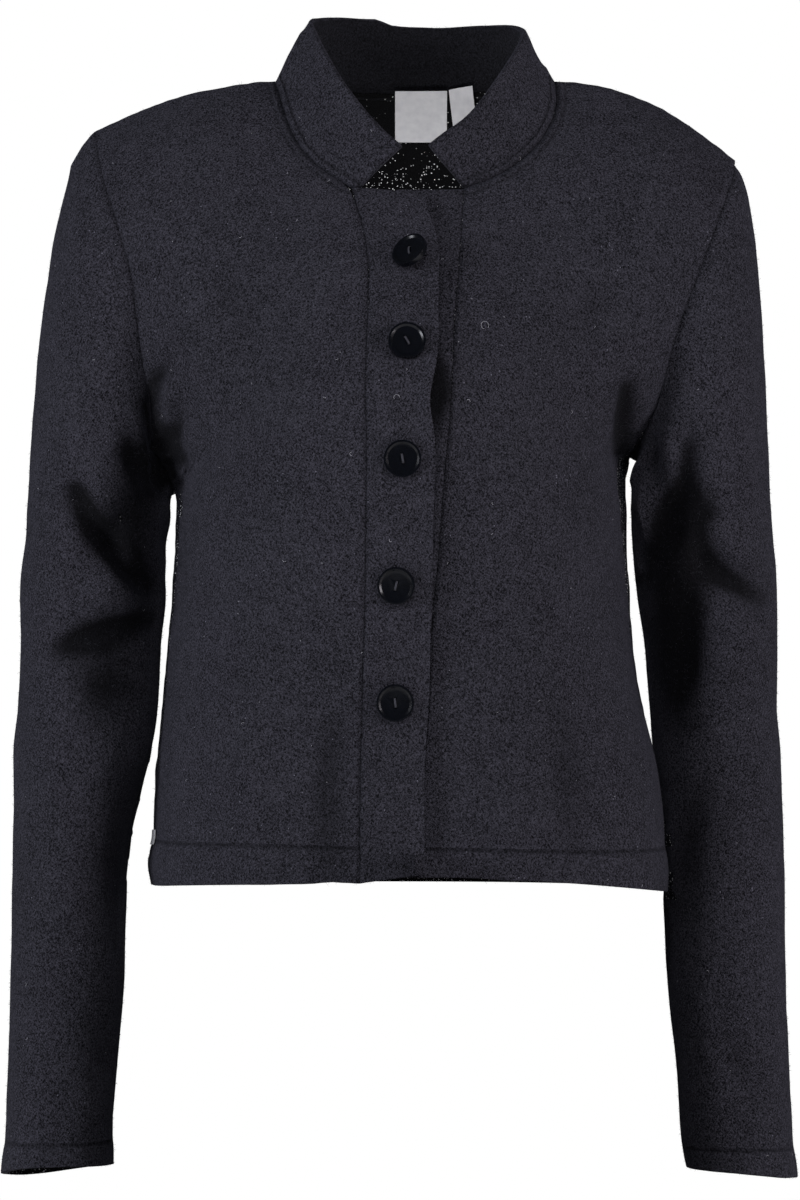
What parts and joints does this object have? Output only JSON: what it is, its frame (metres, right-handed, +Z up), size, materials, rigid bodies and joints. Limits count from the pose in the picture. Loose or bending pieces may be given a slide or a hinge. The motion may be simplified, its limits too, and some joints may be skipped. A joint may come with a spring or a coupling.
{
  "type": "trachten cardigan",
  "caption": "Short stand-collar cardigan jacket of dark boiled wool, filled out as if worn, with a buttoned front placket and long set-in sleeves.",
  "frame": {"origin": "midway between the shoulders at the base of the neck, where a wearer's shoulders carry the garment", "axes": "+Z up along the body, the front faces -Y, +X towards the wearer's left"},
  "size_m": [0.481, 0.2368, 0.7047],
  "materials": {
    "wool": "felted wool knit, dark blue charcoal, matt",
    "wool_double": "the same felted wool knit, two layers",
    "button": "polished dark blue-black, horn look",
    "label": "pale grey woven satin, left bare"
  },
  "bodies": {
    "root": {"back": "wool", "front_right": "wool", "front_left": "wool", "sleeve_right": "wool", "sleeve_left": "wool", "collar": "wool_double", "placket_right": "wool_double", "placket_left": "wool_double", "button_1": "button", "button_2": "button", "button_3": "button", "button_4": "button", "button_5": "button", "neck_label": "label", "size_label": "label", "side_label": "label"}
  },
  "joints": []
}
